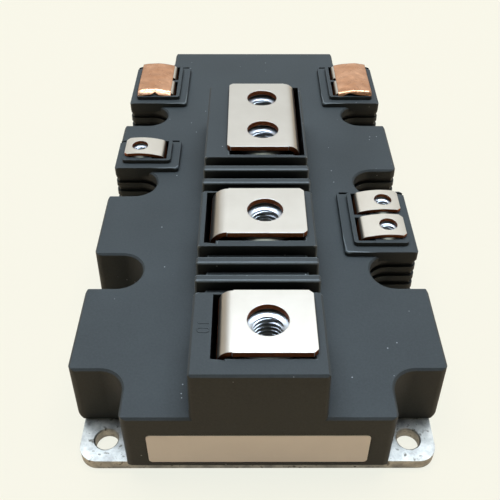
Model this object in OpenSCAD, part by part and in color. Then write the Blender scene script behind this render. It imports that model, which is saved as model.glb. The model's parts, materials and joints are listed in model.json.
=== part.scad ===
// Half-bridge IGBT power module: flat base plate, tall moulded case with a
// central tower, screw-on main terminals and side control terminals.
// X runs across the module, Y along it (the name label is on the -Y end), Z up.
// The origin is the centre of the underside of the base plate.

/* [Fixing] */
// Distance between the two rows of fixing holes
screw_pitch_x = 73; // [70:1:80]
// Distance between neighbouring fixing holes in a row
screw_pitch_y = 39; // [38:0.5:42]
// Diameter of the fixing holes
screw_d = 5.5; // [4.5:0.1:6.5]
// Radius of the space that the case leaves for each screw head
notch_r = 6.4; // [6:0.1:7]
// Radius of that space at the four corners
corner_notch_r = 5.9; // [5.5:0.1:6.5]

/* [Base plate] */
// Thickness of the base plate
base_t = 3; // [2.5:0.1:5]
// Distance from the outer hole centres to the edge of the base plate
base_margin = 6.1; // [5.6:0.1:6.5]
// Corner radius of the base plate
base_corner_r = 4.5; // [2:0.5:6]
// Chamfer at the top of the fixing holes
hole_chamfer = 0.3; // [0.1:0.05:0.5]

/* [Case] */
// Distance from the outer hole centres to the outside of the case foot
case_margin = 8; // [7.7:0.1:9]
// Height of the case shoulders above the mounting plane
shoulder_z = 22.1; // [21:0.1:24]
// Draft angle of the outer walls in degrees
draft = 1.5; // [0.5:0.25:2]
// Chamfer under the case foot
foot_chamfer = 1.5; // [0.5:0.1:1.8]
// Thickness of the outer walls
wall = 3.2; // [2.9:0.1:3.6]
// Thickness of the shoulders' roof
roof_t = 2.6; // [2:0.1:3.5]
// Radius of the upright corners
corner_r = 1.9; // [0.5:0.1:2.5]
// Small chamfer along the top edges
edge = 0.5; // [0.2:0.1:0.8]

/* [Tower] */
// Height of the tower top, which carries the main terminals
tower_z = 36.5; // [35:0.1:40]
// Width of the tower top
tower_w = 29.5; // [29:0.1:32]
// Width of each creepage slot across the tower
slot_w = 3.7; // [3:0.1:4]
// Distance between neighbouring creepage slots
slot_pitch = 6.1; // [5.8:0.1:6.3]
// Number of creepage slots between two terminals
slot_count = 3; // [2:1:3]
// Depth of the creepage slots below the tower top
slot_depth = 3; // [2:0.1:6]
// Depth of the upright groove at each end of a slot
slot_end = 2.3; // [1:0.1:3]

/* [Main terminals] */
// Sheet thickness of the main terminals
bar_t = 1.5; // [1:0.1:2]
// Clearance hole for the M8 screw
bar_hole_d = 9.2; // [8.6:0.1:10]
// Half of the length of a single terminal plate along the module
bar_half = 9.15; // [8.5:0.05:9.4]
// Distance from the hole centre to the free edge of a plate
bar_free = 10.4; // [9:0.1:11]
// How much narrower than the plate the leg is, on each side
leg_step = 0.2; // [0.1:0.05:1]
// Distance of the first terminal hole from the case end
first_bar = 14.9; // [14:0.1:16]
// Distance between neighbouring main terminals
bar_pitch = 38; // [37.5:0.1:39]
// Distance between the two holes of the output terminal
ac_pitch = 18.3; // [17:0.1:19]
// Sideways offset of the terminal holes from the centre line
bar_offset = 2.1; // [1.5:0.1:2.5]
// Outer radius of the bend from plate to leg
bend_r = 4.5; // [3:0.1:5]
// The same where the leg stands close beside a nut
tight_bend_r = 3.4; // [2.5:0.1:3.5]
// Open width beside a leg in its slot
leg_gap = 1.2; // [0.6:0.1:1.4]

/* [Main nuts] */
// Width across flats of the M8 nuts
nut_af = 13; // [12.5:0.5:13.5]
// Height of the M8 nuts, with the flange
nut_h = 8; // [6:0.5:10]
// Diameter of the nut flange
nut_flange_d = 17.9; // [17:0.1:18]
// Thickness of the nut flange
nut_flange_t = 1.6; // [1:0.1:2]
// Modelled bore of the M8 thread
nut_bore_d = 6.8; // [6.6:0.1:7]
// Chamfer round the top of the nut's flange
nut_flange_chamfer = 0.6; // [0.3:0.1:0.8]
// Gap between the nut and the terminal plate
nut_drop = 0.9; // [0.3:0.1:1]
// Depth that a screw may reach below the plate top
screw_depth = 16; // [14:1:17]

/* [Control terminals] */
// Height of the platforms under the control terminals above the shoulders
platform_h = 1.5; // [1:0.1:2]
// Height of the inner pads above the platforms
pad_h = 1.2; // [0.8:0.1:2]
// Sheet thickness of the control terminals
tab_t = 1; // [0.6:0.1:1.2]
// Clearance hole for the M4 screw
tab_hole_d = 5; // [4.5:0.1:5.2]
// Half of the width of a control terminal
tab_half = 4.5; // [4:0.1:4.6]
// Radius of the arched tabs, seen from the end
tab_arch_r = 25; // [20:1:40]
// Outer radius of the bend from tab to leg
tab_bend_r = 1.5; // [1.3:0.1:2]
// Distance from the hole centre to the free edge of a tab
tab_free = 4.6; // [4:0.1:4.8]
// Distance from the hole centre to the leg's inner face
tab_bend = 7.8; // [7.5:0.1:8]
// Distance of the first control terminal behind a fixing hole
tab_first = 14.2; // [14:0.1:15]
// Distance between the two control terminals of a pair
tab_pitch = 11.1; // [11:0.1:11.4]
// Width across flats of the M4 nuts
small_nut_af = 7; // [6.8:0.1:7.2]
// Height of the M4 nuts, with the flange
small_nut_h = 4.6; // [3.5:0.1:5]
// Diameter of the M4 nut flange
small_flange_d = 9.4; // [8.6:0.1:9.6]
// Thickness of the M4 nut flange
small_flange_t = 1; // [0.6:0.1:1.2]
// Modelled bore of the M4 thread
small_bore_d = 3.3; // [3.2:0.1:3.5]

/* [Creepage grooves] */
// Height of each groove in the side walls
groove_h = 1.7; // [1:0.1:2]
// Distance between neighbouring grooves
groove_pitch = 3.4; // [3:0.1:3.6]
// Depth of the grooves
groove_d = 0.9; // [0.5:0.1:1.2]
// Number of grooves one above the other
groove_count = 4; // [2:1:4]

/* [Label and foils] */
// Width of the label on the front wall
label_w = 50.2; // [40:0.2:54]
// Height of the label
label_h = 10.2; // [8:0.2:12]
// Corner radius of the label
label_r = 1; // [0.5:0.1:2]
// Thickness of the label
label_t = 0.12; // [0.1:0.01:0.2]
// Thickness of the shorting foils
foil_t = 0.15; // [0.1:0.01:0.3]

/* [Inside] */
// Width of a ceramic substrate across the module
dbc_w = 52.6; // [50:0.2:52.8]
// Gap between neighbouring ceramic substrates
dbc_gap = 2; // [1:0.5:4]
// Bare ceramic round the copper and between its areas
dbc_margin = 0.8; // [0.5:0.1:1.5]
// Thickness of the ceramic
ceramic_t = 0.63; // [0.38:0.01:1]
// Thickness of each copper layer
copper_t = 0.3; // [0.2:0.05:0.4]
// Thickness of the solder under a substrate
solder_t = 0.2; // [0.1:0.05:0.3]
// Thickness of the chips
chip_t = 0.2; // [0.15:0.01:0.4]
// Side of a square transistor chip
igbt_side = 11.4; // [10:0.2:11.4]
// Width of a diode chip across the module
diode_w = 10; // [8:0.2:11]
// Length of a diode chip along the module
diode_l = 9; // [7:0.2:9.4]
// Diameter of the bond wires
wire_d = 0.4; // [0.3:0.05:0.5]
// Height of the gel filling above the mounting plane
gel_z = 11.5; // [10:0.5:14]

/* [Hidden] */
$fn = 48;
eps = 0.01;
far = 60;
fit = 0.2;

screw_x = screw_pitch_x / 2;
case_w = screw_pitch_x + 2 * case_margin;
case_l = 4 * screw_pitch_y + 2 * case_margin;
base_w = screw_pitch_x + 2 * base_margin;
base_l = 4 * screw_pitch_y + 2 * base_margin;
roof_z = shoulder_z - roof_t;
platform_z = shoulder_z + platform_h;
pad_z = platform_z + pad_h;
bar_top = tower_z + bar_t;
tab_under_r = tab_arch_r - tab_t;
tab_sag = tab_under_r - sqrt(pow(tab_under_r, 2) - pow(tab_free, 2)) + eps;
tab_top = pad_z + tab_t + tab_sag;
tab_arch_z = tab_top - tab_arch_r;
tab_dip = 0.7;          // recess in the pad below the lower end of the arch
tab_dip_l = 3.8;

// Main terminals: hole position, side the leg is on, reach of the leg, number
// of holes, front ends of the leg slot and of the nut pocket, where the prongs
// start behind the leg's front edge, and radius of the bend
front_y = -case_l / 2 + first_bar;
FRONT = [front_y, -1, 11.1, 1, 9.55, 9.2, 6.4, tight_bend_r];
MIDDLE = [front_y + bar_pitch, -1, 14.1, 1, 11.05, 9.95, 6.4, bend_r];
OUTPUT = [front_y + 2 * bar_pitch, 1, 10.6, 2, 11.4, 10.6, 10.9, tight_bend_r];
BARS = [FRONT, MIDDLE, OUTPUT];
leg_half = bar_half - leg_step;
tower_back = OUTPUT[0] + ac_pitch + bar_half + 0.7;
slot_centre = 17.7;
prong_half = 1.5;
prong_count = 3;

// Main nuts sit under the plates; their flange rests in a pocket of the tower
nut_top = tower_z - nut_drop;
flange_floor = nut_top - nut_flange_t;
NUT_YS = [FRONT[0], MIDDLE[0], OUTPUT[0], OUTPUT[0] + ac_pitch];

// Control terminals: side, number of the fixing hole in front of them, count
SENSE = [-1, 0, 1];
SENSOR = [1, -1, 2];
GATE_L = [-1, 1, 2];
GATE_R = [1, 1, 2];
PADS = [SENSE, SENSOR, GATE_L, GATE_R];
pad_inner_x = 12.5;     // platform edge, inwards of the hole row
pad_front = 5.5;        // platform edge, behind the hole centre
pad_tail = 7.1;         // platform edge, behind the last tab
pad_slope = 1.3;        // width of the sloped outer edge of the platform
pad_rim_side = 2.6;     // from the platform edge to the inner pad
pad_rim_front = 2.5;
pad_rim_back = 1.9;
pad_outer = 5.1;        // outer edge of the inner pad, outwards of the hole row
slab_r = 1;
tower_r = 1;
core_wall = 2.4;
small_nut_top = pad_z - 0.1;
small_floor = small_nut_top - small_flange_t;

// Blocks with grooved side walls: side, number of the hole in front of them
GROOVED = [[-1, 0], [-1, 1], [1, -1], [1, 0], [1, 1]];
groove_top = shoulder_z - 3.2;

dbc_l = screw_pitch_y - dbc_gap;
dbc_z = base_t + solder_t;
dbc_top = dbc_z + 2 * copper_t + ceramic_t;
chip_top = dbc_top + chip_t;
DBC_YS = [for (i = [-1.5 : 1.5]) i * screw_pitch_y];
chip_rim = 0.4;         // copper left bare round a chip
copper_gap = 0.6;       // bare ceramic between two copper areas
area_w = igbt_side + 2 * chip_rim;
chip_x = dbc_w / 2 - dbc_margin - area_w / 2;
strip_w = chip_x - area_w - 2 * copper_gap;
strip_x = (area_w + strip_w) / 2 + copper_gap;
chip_gap = 7.2;
igbt_y = (chip_gap + igbt_side) / 2;
diode_y = -(chip_gap + diode_l) / 2;
wire_r = 6.2;
wire_low = wire_r * cos(54);
foot_t = 0.8;
gel_well = chip_top + wire_r - wire_low + wire_d;

label_z = base_t + 2.75;

// ---- shared shapes -------------------------------------------------------

// A box given by its lowest corner and its highest corner
module block(low, high) {
    translate(low) cube(high - low);
}

// Cuts the upright corner at [x, y]; the solid lies towards the turned quadrant
module corner_cut(x, y, turn, r) {
    translate([x, y]) rotate(turn) difference() {
        translate([-1, -1]) square(r + 1);
        translate([r, r]) circle(r);
    }
}

// How far the drafted wall has come in at height z
function drawn_in(z) = max(0, z - base_t - foot_chamfer) * tan(draft);

function notch_radius(k) = abs(k) < 2 ? notch_r : corner_notch_r;

// The space round one fixing screw, seen from above
module screw_notch(side, k, inset) {
    r = notch_radius(k) + inset;
    translate([side * screw_x, k * screw_pitch_y]) {
        circle(r);
        if (abs(k) < 2) {
            translate([side > 0 ? 0 : -far, -r]) square([far, 2 * r]);
        } else {
            translate([side > 0 ? 0 : -far, k > 0 ? -r : -far]) square([far, far + r]);
            translate([side > 0 ? -r : -far, k > 0 ? 0 : -far]) square([far + r, far]);
        }
    }
}

// Outline of the case from above, moved inwards by an inset
module case_plan(inset = 0) {
    difference() {
        square([case_w - 2 * inset, case_l - 2 * inset], center = true);
        for (side = [-1, 1], k = [-2 : 2]) screw_notch(side, k, inset);
    }
}

// Rounds one upright corner of the drafted outside; the solid lies towards the
// turned quadrant, and lean is the way in which the walls come in
module leaning_corner(x, y, lean, turn, r) {
    translate([x, y, base_t + foot_chamfer]) rotate([lean[1] * draft, lean[0] * draft, 0])
        translate([0, 0, -far / 2]) linear_extrude(2 * far) corner_cut(0, 0, turn, r);
}

// The upright corners at the mouths of the screw notches
module mouth_corners() {
    x = case_w / 2;
    for (k = [-2 : 2]) {
        y = k * screw_pitch_y;
        r = notch_radius(k);
        if (k < 2) {
            leaning_corner(-x, y + r, [1, 0], 0, corner_r);
            leaning_corner(x, y + r, [-1, 0], 90, corner_r);
        }
        if (k > -2) {
            leaning_corner(-x, y - r, [1, 0], 270, corner_r);
            leaning_corner(x, y - r, [-1, 0], 180, corner_r);
        }
    }
    end_x = screw_x - corner_notch_r;
    leaning_corner(-end_x, -case_l / 2, [0, -1], 0, corner_r);
    leaning_corner(end_x, -case_l / 2, [0, -1], 90, corner_r);
    leaning_corner(end_x, case_l / 2, [0, 1], 180, corner_r);
    leaning_corner(-end_x, case_l / 2, [0, 1], 270, corner_r);
}

// Chamfer round the top of one screw notch
module notch_chamfer(side, k) {
    r = notch_radius(k);
    over = edge + 1;
    translate([side * screw_x, k * screw_pitch_y, shoulder_z - edge]) {
        cylinder(r1 = r, r2 = r + over, h = over);
        rotate(side > 0 ? 0 : 180) chamfer_prism(r, over);
        if (abs(k) == 2) rotate(k > 0 ? 90 : -90) chamfer_prism(r, over);
    }
}

module chamfer_prism(r, over) {
    rotate([90, 0, 90]) linear_extrude(far)
        polygon([[-r, 0], [r, 0], [r + over, over], [-r - over, over]]);
}

// Upright section of the case: chamfered foot, drafted wall, eased top edge
module wall_section(half, top) {
    low = half - drawn_in(top - edge);
    polygon([
        [-half + foot_chamfer, base_t], [-half, base_t + foot_chamfer],
        [-low, top - edge], [-low + edge, top],
        [low - edge, top], [low, top - edge],
        [half, base_t + foot_chamfer], [half - foot_chamfer, base_t]
    ]);
}

// Anything limited to the drafted outside of the case up to a height
module within_walls(top) {
    intersection() {
        children();
        rotate([90, 0, 0]) translate([0, 0, -case_l])
            linear_extrude(2 * case_l) wall_section(case_w / 2, top);
        rotate([90, 0, 90]) translate([0, 0, -case_w])
            linear_extrude(2 * case_w) wall_section(case_l / 2, top);
    }
}

// ---- case ----------------------------------------------------------------

module shoulders() {
    difference() {
        within_walls(shoulder_z)
            translate([0, 0, base_t]) linear_extrude(shoulder_z - base_t) case_plan();
        mouth_corners();
        for (side = [-1, 1], k = [-2 : 2]) notch_chamfer(side, k);
    }
}

// The tower rises flush with the front wall and ends behind the output terminal
module tower() {
    foot = roof_z;
    half = tower_w / 2;
    spread = (tower_z - foot) * tan(draft);
    intersection() {
        rotate([90, 0, 0]) translate([0, 0, -case_l]) linear_extrude(2 * case_l)
            polygon([
                [-half - spread, foot], [-half, tower_z - edge], [-half + edge, tower_z],
                [half - edge, tower_z], [half, tower_z - edge], [half + spread, foot]
            ]);
        front = case_l / 2 - drawn_in(tower_z - edge);
        rotate([90, 0, 90]) translate([0, 0, -case_w]) linear_extrude(2 * case_w)
            polygon([
                [-case_l / 2 + drawn_in(foot), foot], [-front, tower_z - edge],
                [-front + edge, tower_z], [tower_back - edge, tower_z],
                [tower_back, tower_z - edge], [tower_back + spread, foot]
            ]);
        linear_extrude(far) difference() {
            block2([-case_w / 2, -case_l / 2], [case_w / 2, case_l / 2]);
            corner_cut(-half, tower_back, 270, tower_r);
            corner_cut(half, tower_back, 180, tower_r);
        }
        tower_front();
    }
}

// Everything but the rounded front corners of the tower
module tower_front() {
    reach = tower_w / 2 + (tower_z - base_t - foot_chamfer) * tan(draft);
    difference() {
        block([-far, -2 * far, 0], [far, 2 * far, far]);
        leaning_corner(-reach, -case_l / 2, [1, -1], 0, tower_r);
        leaning_corner(reach, -case_l / 2, [-1, -1], 90, tower_r);
    }
}

// Hollow of the tower below one group of creepage slots
module tower_core(terminal_y) {
    x = tower_w / 2 - slot_end - core_wall;
    y = terminal_y + slot_centre;
    half = slot_pitch * (slot_count - 1) / 2 + slot_w / 2 - 0.2;
    block([-x, y - half, roof_z - 1], [x, y + half, tower_z - slot_depth - core_wall]);
}

// A rectangle given by two opposite corners
module block2(low, high) {
    translate(low) square(high - low);
}

// Three slots across the tower, with an upright groove at both ends of each
module creepage_slots(terminal_y) {
    for (i = [0 : slot_count - 1]) {
        y = terminal_y + slot_centre + (i - (slot_count - 1) / 2) * slot_pitch;
        translate([-tower_w, y - slot_w / 2, tower_z - slot_depth])
            cube([2 * tower_w, slot_w, far]);
        for (side = [-1, 1])
            side_block(side, [tower_w / 2 - slot_end, y - slot_w / 2, shoulder_z],
                       [tower_w / 2 + 0.8, y + slot_w / 2, far]);
    }
}

// Room in the tower for one main terminal's leg and the nuts below its plate
module bar_room(bar) {
    side = bar[1];
    reach = bar[2];
    span = (bar[3] - 1) * ac_pitch;
    back = span + leg_half + fit;
    translate([bar_offset, bar[0], 0]) {
        block([side > 0 ? reach - bar_t - fit : -reach - leg_gap, -bar[4], roof_z - 1],
              [side > 0 ? reach + leg_gap : bar_t + fit - reach, back, far]);
        inner = bar_free - 0.8;
        block([side > 0 ? -inner : -reach, -bar[5], flange_floor],
              [side > 0 ? reach : inner, back, far]);
        for (y = [0 : ac_pitch : span]) translate([0, y, 0]) {
            translate([0, 0, nut_top - nut_h - fit])
                cylinder(d = (nut_af + 2 * fit) / cos(30), h = far, $fn = 6);
            translate([0, 0, bar_top - screw_depth]) cylinder(d = nut_af - 3, h = far);
            translate([0, 0, flange_floor]) cylinder(d = nut_flange_d + 0.6, h = far);
        }
    }
}

function tab_ys(pad) =
    [for (i = [0 : pad[2] - 1]) pad[1] * screw_pitch_y + tab_first + i * tab_pitch];

// The raised platform of a terminal group and the pad on it
module platform(pad) {
    ys = tab_ys(pad);
    x_in = screw_x - pad_inner_x;
    x_out = screw_x + pad_outer;
    y0 = pad[1] * screw_pitch_y + pad_front;
    y1 = ys[len(ys) - 1] + pad_tail;
    x_wall = case_w / 2 - drawn_in(platform_z) - 0.15;
    intersection() {
        rounded_slab(pad[0], [x_in, y0], [x_wall, y1], roof_z + 1, platform_z);
        rotate([90, 0, 0]) translate([0, 0, -case_l]) linear_extrude(2 * case_l) polygon([
            [-x_wall, 0], [-x_wall, platform_z - 0.45], [pad_slope - x_wall, platform_z],
            [x_wall - pad_slope, platform_z], [x_wall, platform_z - 0.45], [x_wall, 0]
        ]);
    }
    rounded_slab(pad[0], [x_in + pad_rim_side, y0 + pad_rim_front],
                 [x_out, y1 - pad_rim_back], roof_z + 1, pad_z);
}

// A flat slab with rounded upright corners on the left (-1) or right (1) half
module rounded_slab(side, low, high, z0, z1) {
    x0 = side > 0 ? low[0] : -high[0];
    x1 = side > 0 ? high[0] : -low[0];
    translate([0, 0, z0]) linear_extrude(z1 - z0) difference() {
        block2([x0, low[1]], [x1, high[1]]);
        corner_cut(x0, low[1], 0, slab_r);
        corner_cut(x1, low[1], 90, slab_r);
        corner_cut(x1, high[1], 180, slab_r);
        corner_cut(x0, high[1], 270, slab_r);
    }
}

// A box on the left (-1) or right (1) half of the module
module side_block(side, low, high) {
    block([side > 0 ? low[0] : -high[0], low[1], low[2]],
          [side > 0 ? high[0] : -low[0], high[1], high[2]]);
}

// The fine groove along the back edge of a platform
module platform_groove(pad) {
    ys = tab_ys(pad);
    y1 = ys[len(ys) - 1] + pad_tail;
    side_block(pad[0], [screw_x - pad_inner_x + 0.6, y1 - 1.2, platform_z - 1.2],
               [far, y1 - 0.4, far]);
}

// Room for one control terminal's leg and nut
module tab_room(side, y) {
    front = -tab_half - 0.8;
    back = tab_half + 0.1;
    x_leg = screw_x - tab_bend;
    translate([0, y, 0]) {
        side_block(side, [x_leg - 0.9, front, roof_z - 1], [x_leg + tab_t + fit, back, far]);
        side_block(side, [x_leg, front, pad_z - tab_dip], [x_leg + tab_dip_l, back, far]);
        translate([side * screw_x, 0, 0]) {
            translate([0, 0, small_nut_top - small_nut_h - fit])
                cylinder(d = (small_nut_af + 2 * fit) / cos(30), h = far, $fn = 6);
            translate([0, 0, small_floor]) cylinder(d = small_flange_d + 2 * fit, h = far);
        }
    }
}

// Horizontal grooves round the outer faces of one block of the case
module wall_grooves(side, k) {
    y0 = k * screw_pitch_y - eps;
    for (i = [0 : groove_count - 1])
        translate([0, 0, groove_top - groove_h - i * groove_pitch]) linear_extrude(groove_h)
            difference() {
                block2([side > 0 ? screw_x - notch_r - 2 : -far, y0 + 1],
                       [side > 0 ? far : notch_r + 2 - screw_x, y0 + screw_pitch_y - 1]);
                case_plan(groove_d);
            }
}

// The label lies in a shallow recess of the drafted front wall
module label_slab(w, h, t, r) {
    z = label_z + label_h / 2;
    y = -case_l / 2 + drawn_in(z);
    intersection() {
        translate([0, y, z]) rotate([-draft, 0, 0]) translate([-w, -1, -h]) cube([2 * w, 1 + t, 2 * h]);
        translate([0, y + 2, z]) rotate([90, 0, 0]) linear_extrude(4) difference() {
            square([w, h], center = true);
            for (i = [0 : 3])
                corner_cut((i == 0 || i == 3 ? -w : w) / 2, (i < 2 ? -h : h) / 2, i * 90, r);
        }
    }
}

module housing() {
    color("#2b2f33") difference() {
        union() {
            shoulders();
            tower();
            for (pad = PADS) platform(pad);
        }
        translate([0, 0, base_t - 1]) linear_extrude(roof_z - base_t + 1) case_plan(wall);
        translate([0, 0, base_t - 1]) linear_extrude(1.8) seal_ring();
        for (y = [FRONT[0], MIDDLE[0]]) {
            creepage_slots(y);
            tower_core(y);
        }
        for (bar = BARS) bar_room(bar);
        for (pad = PADS) {
            platform_groove(pad);
            for (y = tab_ys(pad)) tab_room(pad[0], y);
        }
        for (g = GROOVED) wall_grooves(g[0], g[1]);
        label_slab(label_w + 0.4, label_h + 0.4, 0.15, label_r + 0.2);
    }
}

// ---- base plate and seal -------------------------------------------------

module base_plate() {
    color("#b9b9b4") difference() {
        linear_extrude(base_t) difference() {
            square([base_w, base_l], center = true);
            corner_cut(-base_w / 2, -base_l / 2, 0, base_corner_r);
            corner_cut(base_w / 2, -base_l / 2, 90, base_corner_r);
            corner_cut(base_w / 2, base_l / 2, 180, base_corner_r);
            corner_cut(-base_w / 2, base_l / 2, 270, base_corner_r);
        }
        for (side = [-1, 1], k = [-2 : 2]) translate([side * screw_x, k * screw_pitch_y, 0]) {
            translate([0, 0, -1]) cylinder(d = screw_d, h = base_t + 2);
            translate([0, 0, base_t - hole_chamfer])
                cylinder(d1 = screw_d, d2 = screw_d + 2 * (hole_chamfer + 1), h = hole_chamfer + 1);
        }
    }
}

module seal_ring() {
    difference() {
        case_plan(wall - 1.2);
        case_plan(wall - 0.4);
    }
}

module case_seal() {
    color("#d8d8d0") translate([0, 0, base_t]) linear_extrude(0.8) seal_ring();
}

// ---- main terminals ------------------------------------------------------

// Flat plate, rounded bend and leg, drawn for a leg on the -X side
module bar_form(bar) {
    reach = bar[2];
    r = bar[7];
    span = (bar[3] - 1) * ac_pitch;
    cut = 1;
    // plate with its two free corners cut off
    translate([0, 0, tower_z]) linear_extrude(bar_t) difference() {
        polygon([
            [r - reach, -bar_half], [bar_free - cut, -bar_half], [bar_free, cut - bar_half],
            [bar_free, span + bar_half - cut], [bar_free - cut, span + bar_half],
            [r - reach, span + bar_half]
        ]);
        for (y = [0 : ac_pitch : span]) translate([0, y]) circle(d = bar_hole_d);
    }
    // bend
    intersection() {
        translate([r - reach, span + leg_half, bar_top - r]) rotate([90, 0, 0])
            difference() {
                cylinder(r = r, h = span + 2 * leg_half);
                translate([0, 0, -1]) cylinder(r = r - bar_t, h = span + 2 * leg_half + 2);
            }
        block([-reach, -far, bar_top - r], [r - reach, far, bar_top]);
    }
    // leg with prongs that stand on a substrate
    block([-reach, -leg_half, gel_z + 1], [bar_t - reach, span + leg_half, bar_top - r]);
    first = bar[6] - leg_half;
    last = span + leg_half - 2.4;
    for (i = [0 : prong_count - 1]) {
        y = first + i * (last - first) / (prong_count - 1);
        block([-reach, y - prong_half, dbc_top], [bar_t - reach, y + prong_half, gel_z + 1]);
        block([-reach - 0.5, y - prong_half, dbc_top],
              [bar_t - reach + 0.5, y + prong_half, dbc_top + foot_t]);
    }
}

module main_terminal(bar) {
    color("#dcd8d0") translate([bar_offset, bar[0], 0])
        if (bar[1] < 0) bar_form(bar);
        else mirror([1, 0, 0]) bar_form(bar);
}

// A flanged nut with its flange on top
module flange_nut(af, h, flange_d, flange_t, chamfer, bore_d) {
    difference() {
        union() {
            translate([0, 0, -h]) cylinder(d = af / cos(30), h = h, $fn = 6);
            translate([0, 0, -flange_t]) cylinder(d = flange_d, h = flange_t - chamfer);
            translate([0, 0, -chamfer])
                cylinder(d1 = flange_d, d2 = flange_d - 2 * chamfer, h = chamfer);
        }
        translate([0, 0, -h - 1]) cylinder(d = bore_d, h = h + 2);
    }
}

module main_terminal_nuts() {
    color("#c9c6b8") for (y = NUT_YS) translate([bar_offset, y, nut_top])
        flange_nut(nut_af, nut_h, nut_flange_d, nut_flange_t, nut_flange_chamfer,
                   nut_bore_d);
}

// ---- control terminals ---------------------------------------------------

// Side view of all that lies under a tab's outer surface, set in by inset
module tab_side(inset) {
    x = tab_bend_r - tab_bend;
    rise = sqrt(pow(tab_arch_r - tab_bend_r, 2) - pow(x, 2));
    intersection() {
        translate([0, tab_arch_z]) circle(tab_arch_r - inset, $fn = 240);
        polygon([[0, tab_arch_z], [2 * x, tab_arch_z + 2 * rise], [far, far], [far, tab_arch_z]]);
    }
    translate([x, tab_arch_z + rise]) circle(tab_bend_r - inset);
    translate([inset - tab_bend, 0]) square([tab_bend, tab_arch_z + rise]);
}

module tab_form() {
    cut = 1;
    difference() {
        intersection() {
            rotate([90, 0, 0]) translate([0, 0, -tab_half]) linear_extrude(2 * tab_half)
                difference() {
                    tab_side(0);
                    tab_side(tab_t);
                }
            translate([0, 0, gel_z + 1]) linear_extrude(far) polygon([
                [-tab_bend - 1, -tab_half], [tab_free - cut, -tab_half], [tab_free, cut - tab_half],
                [tab_free, tab_half - cut], [tab_free - cut, tab_half], [-tab_bend - 1, tab_half]
            ]);
        }
        translate([0, 0, pad_z - 1]) cylinder(d = tab_hole_d, h = far);
    }
    block([-tab_bend, -prong_half, dbc_top], [tab_t - tab_bend, prong_half, gel_z + 1]);
    foot_x = screw_x - dbc_w / 2 + dbc_margin + 0.4;
    block([-foot_x, -prong_half, dbc_top], [tab_t - tab_bend, prong_half, dbc_top + foot_t]);
}

module control_terminal(pad, i) {
    color("#dcdcd4") translate([pad[0] * screw_x, tab_ys(pad)[i], 0])
        if (pad[0] > 0) tab_form();
        else mirror([1, 0, 0]) tab_form();
}

module control_terminal_nuts() {
    color("#c9c6b8") for (pad = PADS, y = tab_ys(pad))
        translate([pad[0] * screw_x, y, small_nut_top])
            flange_nut(small_nut_af, small_nut_h, small_flange_d, small_flange_t,
                       nut_flange_chamfer / 3, small_bore_d);
}

// The box from low to high, below the arch of the tabs raised by rise
module under_arch(rise, low, high) {
    intersection() {
        translate([0, high[1], tab_arch_z]) rotate([90, 0, 0])
            cylinder(r = tab_arch_r + rise, h = high[1] - low[1], $fn = 240);
        block(low, high);
    }
}

// Copper foil folded over a pair of control terminals, with its front edge and
// its outer edge turned down
module foil_form(pad) {
    ys = tab_ys(pad);
    gap = 0.1;
    low = [1 - tab_bend, ys[0] - tab_half - 1.2, pad_z + gap];
    high = [tab_free + gap, ys[1] + tab_half, far];
    difference() {
        under_arch(gap + foil_t, low, high + [foil_t, 0, 0]);
        under_arch(gap, low + [-1, foil_t, -1], high + [0, 1, 0]);
    }
}

module shorting_foil(pad) {
    color("#c98f6f") translate([pad[0] * screw_x, 0, 0])
        if (pad[0] > 0) foil_form(pad);
        else mirror([1, 0, 0]) foil_form(pad);
}

module name_label() {
    color("#ece6d8") intersection() {
        label_slab(label_w, label_h, 0.15, label_r);
        translate([0, 0.15 - label_t, 0]) mirrored_outside();
    }
}

// Everything behind the drafted front wall
module mirrored_outside() {
    translate([0, -case_l / 2 + drawn_in(label_z + label_h / 2), label_z + label_h / 2])
        rotate([-draft, 0, 0]) translate([-far, 0, -far]) cube([2 * far, far, 2 * far]);
}

// ---- inside --------------------------------------------------------------

module substrate_solder() {
    color("#9a9a9c") for (y = DBC_YS)
        translate([dbc_margin - dbc_w / 2, y + dbc_margin - dbc_l / 2, base_t])
            cube([dbc_w - 2 * dbc_margin, dbc_l - 2 * dbc_margin, solder_t]);
}

// Ceramic tile with a full copper layer below and five copper areas on top
module substrate(y) {
    half_l = dbc_l / 2;
    color("#e9e4dc") translate([0, y, dbc_z]) {
        m = dbc_margin;
        block([m - dbc_w / 2, m - half_l, 0], [dbc_w / 2 - m, half_l - m, copper_t]);
        block([-dbc_w / 2, -half_l, copper_t], [dbc_w / 2, half_l, copper_t + ceramic_t]);
        for (x = [-chip_x, 0, chip_x]) copper_area(x, area_w, half_l);
        for (x = [-strip_x, strip_x]) copper_area(x, strip_w, half_l);
    }
}

module copper_area(x, w, half_l) {
    block([x - w / 2, dbc_margin - half_l, copper_t + ceramic_t],
          [x + w / 2, half_l - dbc_margin, 2 * copper_t + ceramic_t]);
}

module chips(y, w, l, dy) {
    for (x = [-chip_x, 0, chip_x])
        translate([x - w / 2, y + dy - l / 2, dbc_top]) cube([w, l, chip_t]);
}

module transistor_chips(y) {
    color("#8d8f96") chips(y, igbt_side, igbt_side, igbt_y);
}

module diode_chips(y) {
    color("#a7a9ae") chips(y, diode_w, diode_l, diode_y);
}

// Aluminium wires that arch from each transistor to its diode
module bond_wires(y) {
    color("#d9dadd") for (x = [-chip_x, 0, chip_x], i = [-1.5 : 1.5])
        translate([x + i * 2.4, y, chip_top]) intersection() {
            translate([0, 0, -wire_low]) rotate([90, 0, 90])
                rotate_extrude() translate([wire_r, 0]) circle(d = wire_d, $fn = 16);
            translate([-1, -far / 2, 0]) cube([2, far, far]);
        }
}

module temperature_sensor() {
    color("#3c4a3a") translate([strip_x - 0.8, DBC_YS[1] - 1.6, dbc_top]) cube([1.6, 3.2, 1]);
}

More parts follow.
